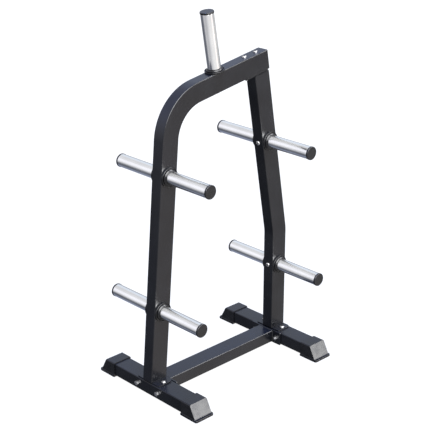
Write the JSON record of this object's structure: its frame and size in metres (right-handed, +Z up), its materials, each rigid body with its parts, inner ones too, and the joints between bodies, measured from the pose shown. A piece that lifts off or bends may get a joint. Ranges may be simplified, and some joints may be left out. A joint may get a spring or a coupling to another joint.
{
  "type": "plate tree",
  "caption": "Free-standing plate tree: a bent mast and rail on a bolted base, with chrome pegs through both uprights and one peg on top.",
  "frame": {"origin": "on the floor, in the middle of the base", "axes": "+X along the base beam from the mast to the post, +Y along the feet to the back, +Z up"},
  "size_m": [0.743, 0.554, 1.4149],
  "materials": {
    "frame_paint": "gloss black paint",
    "moulded_plastic": "satin moulded",
    "peg_chrome": "bright chrome plate",
    "bolt_zinc": "zinc plate"
  },
  "bodies": {
    "root": {"left_foot_tube": "frame_paint", "right_foot_tube": "frame_paint", "left_foot_front_cap": "moulded_plastic", "left_foot_rear_cap": "moulded_plastic", "right_foot_front_cap": "moulded_plastic", "right_foot_rear_cap": "moulded_plastic", "base_beam": "frame_paint", "left_front_beam_bolt": "bolt_zinc", "left_rear_beam_bolt": "bolt_zinc", "right_front_beam_bolt": "bolt_zinc", "right_rear_beam_bolt": "bolt_zinc", "left_front_beam_washer": "bolt_zinc", "left_rear_beam_washer": "bolt_zinc", "right_front_beam_washer": "bolt_zinc", "right_rear_beam_washer": "bolt_zinc", "left_front_beam_nut": "bolt_zinc", "left_rear_beam_nut": "bolt_zinc", "right_front_beam_nut": "bolt_zinc", "right_rear_beam_nut": "bolt_zinc", "mast_and_rail": "frame_paint", "right_post": "frame_paint", "rail_end_cap": "moulded_plastic", "mast_front_base_bolt": "bolt_zinc", "mast_rear_base_bolt": "bolt_zinc", "post_front_base_bolt": "bolt_zinc", "post_rear_base_bolt": "bolt_zinc", "outer_rail_bolt": "bolt_zinc", "inner_rail_bolt": "bolt_zinc", "mast_lower_peg": "peg_chrome", "mast_upper_peg": "peg_chrome", "post_lower_peg": "peg_chrome", "post_upper_peg": "peg_chrome", "mast_lower_peg_bolt": "bolt_zinc", "mast_upper_peg_bolt": "bolt_zinc", "post_lower_peg_bolt": "bolt_zinc", "post_upper_peg_bolt": "bolt_zinc", "mast_lower_peg_front_collar": "moulded_plastic", "mast_lower_peg_rear_collar": "moulded_plastic", "mast_upper_peg_front_collar": "moulded_plastic", "mast_upper_peg_rear_collar": "moulded_plastic", "post_lower_peg_front_collar": "moulded_plastic", "post_lower_peg_rear_collar": "moulded_plastic", "post_upper_peg_front_collar": "moulded_plastic", "post_upper_peg_rear_collar": "moulded_plastic", "mast_lower_peg_front_cap": "moulded_plastic", "mast_lower_peg_rear_cap": "moulded_plastic", "mast_upper_peg_front_cap": "moulded_plastic", "mast_upper_peg_rear_cap": "moulded_plastic", "post_lower_peg_front_cap": "moulded_plastic", "post_lower_peg_rear_cap": "moulded_plastic", "post_upper_peg_front_cap": "moulded_plastic", "post_upper_peg_rear_cap": "moulded_plastic", "top_peg": "peg_chrome", "top_peg_collar": "moulded_plastic", "top_peg_cap": "moulded_plastic", "top_peg_washer": "bolt_zinc", "top_peg_bolt": "bolt_zinc"}
  },
  "joints": []
}
